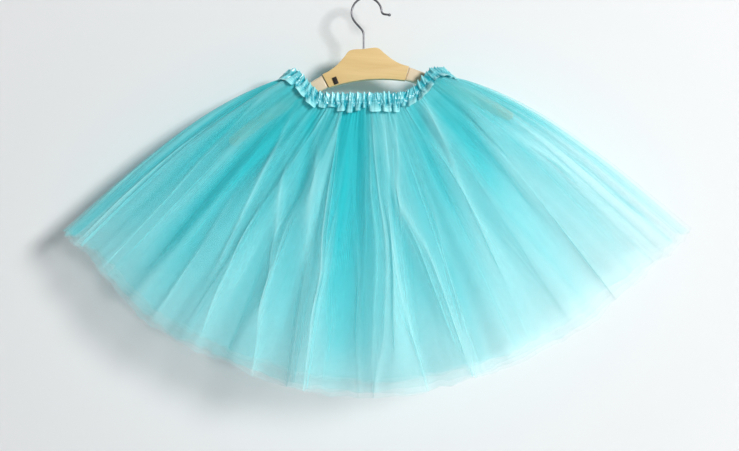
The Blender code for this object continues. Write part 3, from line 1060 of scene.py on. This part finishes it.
def key_outline():
    lean = math.radians(KEY_LEAN)
    half_wide, half_high = KEY_SIZE[0] / 2, KEY_SIZE[1] / 2
    return [
        (
            KEY_MIDDLE[0] + i * half_wide * math.cos(lean) - j * half_high * math.sin(lean),
            KEY_MIDDLE[1] + i * half_wide * math.sin(lean) + j * half_high * math.cos(lean),
        )
        for i, j in ((-1, -1), (1, -1), (1, 1), (-1, 1))
    ]


def build_boards(settings):
    block = board("hanger_board_middle", block_outline(), BLOCK_THICKNESS, BLOCK_EDGE, 5)
    block.data.materials.append(
        wood_finish("Honey wood", settings.wood_pale, settings.wood_dark, 0.34, -HANGER_TILT)
    )
    stand_for(block, "hanger_block")
    for side, word in ((-1, "left"), (1, "right")):
        arm = board(f"hanger_board_{word}", arm_outline(side), ARM_THICKNESS, ARM_EDGE, 6)
        slope = side * ARM_GRAIN - HANGER_TILT
        arm.data.materials.append(
            wood_finish(f"Pale wood {word}", settings.arm_pale, settings.arm_dark, 0.40, slope)
        )
        stand_for(arm, f"hanger_arm_{word}")
    # a thin near-black plate on the middle board's face, by the left joint
    key_y = -(BLOCK_THICKNESS + KEY_THICKNESS) / 2 - GAP
    key = board("dark_inlay", key_outline(), KEY_THICKNESS, KEY_EDGE, 2, key_y)
    key.data.materials.append(
        wood_finish("Dark inlay wood", settings.inlay_pale, settings.inlay_dark, 0.70, KEY_GRAIN)
    )
    stand_for(key, "hanger_key")


def build_hook(settings):
    """The wire is a circle drawn up the neck, spun round its bends and closed by a ball."""
    crook = Vector((0.0, 0.0, WIRE / 2 - CROOK_RADIUS))
    low = math.radians(CROOK_LOW_END)
    heading = Vector((-math.sin(low), 0.0, math.cos(low)))
    crook_low = crook + CROOK_RADIUS * Vector((math.cos(low), 0.0, math.sin(low)))
    run = (NECK_X - crook_low.x - NECK_BEND_RADIUS * (1.0 + heading.z)) / heading.x
    bend_start = crook_low + heading * run
    bend_middle = bend_start + NECK_BEND_RADIUS * Vector((heading.z, 0.0, -heading.x))
    tip = math.radians(TIP_BEND_START)
    tip_middle = crook + (CROOK_RADIUS + TIP_BEND_RADIUS) * Vector(
        (math.cos(tip), 0.0, math.sin(tip))
    )
    shape = bmesh.new()
    bmesh.ops.create_circle(shape, cap_ends=True, segments=20, radius=WIRE / 2)
    foot = Matrix.Translation((NECK_X, 0.0, HANGER_TOP_Z + GAP))
    bmesh.ops.transform(shape, matrix=foot, verts=shape.verts)
    ring = list(shape.edges)

    def bend(edges, middle, angle, steps):
        made = bmesh.ops.spin(
            shape,
            geom=edges,
            cent=middle,
            axis=(0.0, -1.0, 0.0),
            angle=math.radians(angle),
            steps=steps,
            use_merge=False,
        )["geom_last"]
        return edges_of(made)

    ring = draw_edges(shape, ring, (0.0, 0.0, bend_middle.z - HANGER_TOP_Z - GAP))
    ring = bend(ring, bend_middle, CROOK_LOW_END - 180.0, 14)
    ring = draw_edges(shape, ring, -run * heading)
    ring = bend(ring, crook, TIP_BEND_START - CROOK_LOW_END, 72)
    ring = bend(ring, tip_middle, TIP_TURN, 14)
    end = math.radians(TIP_BEND_START + 180.0 + TIP_TURN)
    forward = Vector((-math.sin(end), 0.0, math.cos(end)))
    ring = draw_edges(shape, ring, TIP_LENGTH * forward)
    middle = sum((v.co for v in {v for e in ring for v in e.verts}), Vector()) / len(ring)
    ball = Matrix.Translation(middle + BALL_RADIUS * forward)
    bmesh.ops.create_uvsphere(
        shape, u_segments=20, v_segments=12, radius=BALL_RADIUS, matrix=ball
    )
    bmesh.ops.holes_fill(shape, edges=ring)
    hook = finish_mesh(shape, "steel_hook")
    hook.data.set_sharp_from_angle(angle=math.radians(50.0))
    hook.data.materials.append(steel_finish(settings))
    stand_for(hook, "hook")


# Stage


def build_backdrop(settings):
    """A pale floor that curves up into a wall. From behind, the wall doesn't show."""
    shape = bmesh.new()
    sides = (-FLOOR_HALF_WIDTH, FLOOR_HALF_WIDTH)
    ends = [shape.verts.new((x, -FLOOR_FRONT, FLOOR_Z)) for x in sides]
    line = [shape.edges.new(ends)]
    lean = math.atan(WALL_LEAN)
    wall_foot = WALL_AT_HOOK - WALL_LEAN * FLOOR_Z
    line = draw_edges(shape, line, (0.0, FLOOR_FRONT + wall_foot - COVE_RADIUS, 0.0))
    middle = (0.0, wall_foot - COVE_RADIUS, FLOOR_Z + COVE_RADIUS)
    cove = bmesh.ops.spin(
        shape, geom=line, cent=middle, axis=(1.0, 0.0, 0.0), angle=math.pi / 2 + lean, steps=18
    )["geom_last"]
    draw_edges(shape, edges_of(cove), Vector((0.0, -WALL_LEAN, 1.0)) * WALL_HEIGHT)
    backdrop = finish_mesh(shape, "backdrop")
    if backdrop.data.polygons[0].normal.z < 0.0:
        backdrop.data.flip_normals()
    finish = new_finish("Pale wall")
    place = finish.place()
    height = Value(finish, finish.node("ShaderNodeSeparateXYZ", {}, {0: place}).outputs[2])
    risen = ((height - FLOOR_Z) * (1.0 / COVE_RADIUS)).clipped() - 0.04 * finish.noise(place, 3.0)
    colour = finish.blend(risen, colour4(settings.floor_colour), colour4(settings.wall_colour))
    front = finish.surface({"Base Color": colour, "Roughness": 1.0, "Specular IOR Level": 0.0})
    behind = finish.node("ShaderNodeBsdfTransparent", {}, {})
    back_side = finish.node("ShaderNodeNewGeometry", {}, {}).outputs["Backfacing"]
    both = finish.either(back_side, front, behind.outputs[0])
    backdrop.data.materials.append(finish.output(both))
    backdrop.visible_shadow = False


def add_light(name, place, power, colour):
    lamp = bpy.data.lights.new(name, "AREA")
    lamp.shape, lamp.size, lamp.energy, lamp.color = "DISK", LIGHT_SIZE, power, colour
    light = add_object(name, lamp)
    light.location = place
    light.rotation_euler = (LIGHT_AIM - Vector(place)).to_track_quat("-Z", "Y").to_euler()


def build_stage(settings):
    build_backdrop(settings)
    add_light("key", KEY_LIGHT, settings.key_power, (1.0, 0.995, 0.98))
    add_light("back", BACK_LIGHT, settings.back_power, (1.0, 1.0, 1.0))
    air = Finish(bpy.data.worlds.new("Soft light"))
    lighting, seen = (
        air.node("ShaderNodeBackground", {}, {"Color": AIR_COLOUR, "Strength": strength})
        for strength in (settings.world_strength, SEEN_SKY)
    )
    looked_at = air.node("ShaderNodeLightPath", {}, {}).outputs["Is Camera Ray"]
    both = air.either(looked_at, lighting.outputs[0], seen.outputs[0])
    scene = bpy.context.scene
    scene.world = air.output(both, "ShaderNodeOutputWorld")
    lens = bpy.data.cameras.new("camera")
    lens.sensor_width = SENSOR * 1000
    lens.lens = SENSOR * 1000 * -EYE.y / VIEW_WIDTH
    eye = add_object("camera", lens)
    eye.location = EYE
    eye.rotation_euler = (math.pi / 2, 0.0, 0.0)
    scene.camera = eye
    scene.view_settings.view_transform = "Standard"
    scene.cycles.transparent_max_bounces = 64
    scene.cycles.max_bounces = 10
    scene.cycles.diffuse_bounces = 8


# Settings


def setting(kind, **looks):
    """A maker of settings of one kind, from their name, description and default."""

    def made(name, description, default):
        return kind(name=name, description=description, default=default, **looks)

    return made


length_property = setting(bpy.props.FloatProperty, unit="LENGTH", precision=4)
colour_property = setting(bpy.props.FloatVectorProperty, subtype="COLOR", size=3)
share_property = setting(bpy.props.FloatProperty, subtype="FACTOR")
power_property = setting(bpy.props.FloatProperty, unit="POWER")
count_property = setting(bpy.props.IntProperty)


class ClothSettings(bpy.types.PropertyGroup):
    """The tulle's cut, folds and colours."""

    cut_width: length_property("Cut width", "Width of each sheet before it is gathered", 1.95)
    columns: count_property("Columns", "Columns of faces round each sheet", 1400)
    rows: count_property("Rows", "Rows of faces down each sheet", 56)
    fold_height: share_property("Fold height", "Height of the small folds", 1.0)
    net_cell: length_property("Net cell", "Width of a cell of the net", 0.0016)
    thread_cover: share_property("Thread cover", "Share of flat net that is thread", 0.19)
    light_through: share_property("Light through", "Share of light that passes threads", 0.35)
    # Painted shade down the skirt: deep in colour at the waist, where the gathers crowd, pale at
    # the hem
    tone_waist: share_property("Waist paleness", "Paleness at the waist", 0.28)
    tone_hem: share_property("Hem paleness", "Paleness at the hem", 0.96)
    # Deep is the painted shade of the troughs, pale the painted highlight of the ridges
    tulle_deep: colour_property("Deep aqua", "Outer sheet in its troughs", (0.02, 0.66, 0.71))
    tulle_pale: colour_property("Pale aqua", "Outer sheet on its ridges", (0.62, 0.97, 0.98))
    # The inner sheets' colours are darker: painted shade from the sheet in front
    inner_deep: colour_property("Inner deep aqua", "Inner sheets, deep", (0.01, 0.58, 0.64))
    inner_pale: colour_property("Inner pale aqua", "Inner sheets, pale", (0.39, 0.91, 0.94))


class BandSettings(bpy.types.PropertyGroup):
    """The satin strip's cut and colours."""

    band_cut: length_property("Band cut", "Length of the strip before it is ruched", 0.92)
    band_strip: length_property("Strip width", "Width of the strip, both sides of its fold", 0.052)
    band_columns: count_property("Band columns", "Columns of faces round the band", 1500)
    band_rows: count_property("Band rows", "Rows of faces across the strip", 48)
    # Deep is the painted shade in the gathers, pale the painted highlight on the puffs
    satin_deep: colour_property("Deep satin", "Satin in its gathers", (0.004, 0.34, 0.42))
    satin_pale: colour_property("Pale satin", "Satin on its puffs", (0.41, 0.94, 0.97))


class HangerSettings(bpy.types.PropertyGroup):
    """The hanger's colours."""

    wood_pale: colour_property("Honey wood", "Middle board, pale grain", (0.76, 0.56, 0.26))
    wood_dark: colour_property("Honey grain", "Middle board, dark grain", (0.54, 0.34, 0.12))
    arm_pale: colour_property("Pale wood", "Arms, pale grain", (0.74, 0.62, 0.46))
    arm_dark: colour_property("Pale grain", "Arms, dark grain", (0.62, 0.46, 0.29))
    # The near-black plate on the middle board
    inlay_pale: colour_property("Inlay", "Inlay, pale grain", (0.012, 0.005, 0.003))
    inlay_dark: colour_property("Inlay grain", "Inlay, dark grain", (0.006, 0.003, 0.002))
    steel_colour: colour_property("Steel", "The hook's wire", (0.12, 0.12, 0.13))


class StageSettings(bpy.types.PropertyGroup):
    """The backdrop and lights."""

    wall_colour: colour_property("Wall", "The wall", (0.735, 0.745, 0.757))
    floor_colour: colour_property("Floor", "The floor", (0.56, 0.565, 0.57))
    key_power: power_property("Key light", "Light from the right, in front", 312.0)
    back_power: power_property("Back light", "Light on the back", 30.0)
    world_strength: share_property("Soft light", "Even light from all round", 0.20)


class TUTU_OT_stage(bpy.types.Operator):
    """Add the backdrop, the lights and the camera"""

    bl_idname = "tutu.stage"
    bl_label = "Stage"

    def execute(self, context):
        build_stage(context.scene.tutu_stage)
        return {"FINISHED"}


class TUTU_OT_hanger_boards(bpy.types.Operator):
    """Add the hanger's three boards and the dark plate on the middle one"""

    bl_idname = "tutu.hanger_boards"
    bl_label = "Hanger boards"

    def execute(self, context):
        build_boards(context.scene.tutu_hanger)
        return {"FINISHED"}


class TUTU_OT_hook(bpy.types.Operator):
    """Add the steel hook"""

    bl_idname = "tutu.hook"
    bl_label = "Hook"

    def execute(self, context):
        build_hook(context.scene.tutu_hanger)
        return {"FINISHED"}


class TUTU_OT_tulle(bpy.types.Operator):
    """Add the three sheets of tulle"""

    bl_idname = "tutu.tulle"
    bl_label = "Tulle sheets"

    def execute(self, context):
        build_tulle(context.scene.tutu_cloth)
        return {"FINISHED"}


class TUTU_OT_waistband(bpy.types.Operator):
    """Add the ruched satin waistband"""

    bl_idname = "tutu.waistband"
    bl_label = "Waistband"

    def execute(self, context):
        build_waistband(context.scene.tutu_band)
        return {"FINISHED"}


class TUTU_PT_panel(bpy.types.Panel):
    """The tutu's settings and pieces"""

    bl_idname = "TUTU_PT_panel"
    bl_label = "Ballet tutu"
    bl_space_type = "VIEW_3D"
    bl_region_type = "UI"
    bl_category = "Tutu"

    def draw(self, context):
        for group, operators in PIECES:
            box = self.layout.box()
            settings = getattr(context.scene, group)
            for name in settings.bl_rna.properties.keys():
                if name not in ("rna_type", "name"):
                    box.prop(settings, name)
            for operator in operators:
                box.operator(operator.bl_idname)


PIECES = (
    # settings, operators in the order in which they are called
    ("tutu_stage", (TUTU_OT_stage,)),
    ("tutu_hanger", (TUTU_OT_hanger_boards, TUTU_OT_hook)),
    ("tutu_cloth", (TUTU_OT_tulle,)),
    ("tutu_band", (TUTU_OT_waistband,)),
)
GROUPS = {
    "tutu_stage": StageSettings,
    "tutu_hanger": HangerSettings,
    "tutu_cloth": ClothSettings,
    "tutu_band": BandSettings,
}
CLASSES = (*GROUPS.values(), *(o for group, found in PIECES for o in found), TUTU_PT_panel)


def register():
    for each in CLASSES:
        bpy.utils.register_class(each)
    for name, group in GROUPS.items():
        setattr(bpy.types.Scene, name, bpy.props.PointerProperty(type=group))


def unregister():
    for name in GROUPS:
        delattr(bpy.types.Scene, name)
    for each in reversed(CLASSES):
        bpy.utils.unregister_class(each)


def main():
    register()
    for _, operators in PIECES:
        for operator in operators:
            made = getattr(bpy.ops.tutu, operator.bl_idname.split(".")[1])()
            if made != {"FINISHED"}:
                raise RuntimeError(f"{operator.bl_label} wasn't made")


if __name__ == "__main__":
    main()
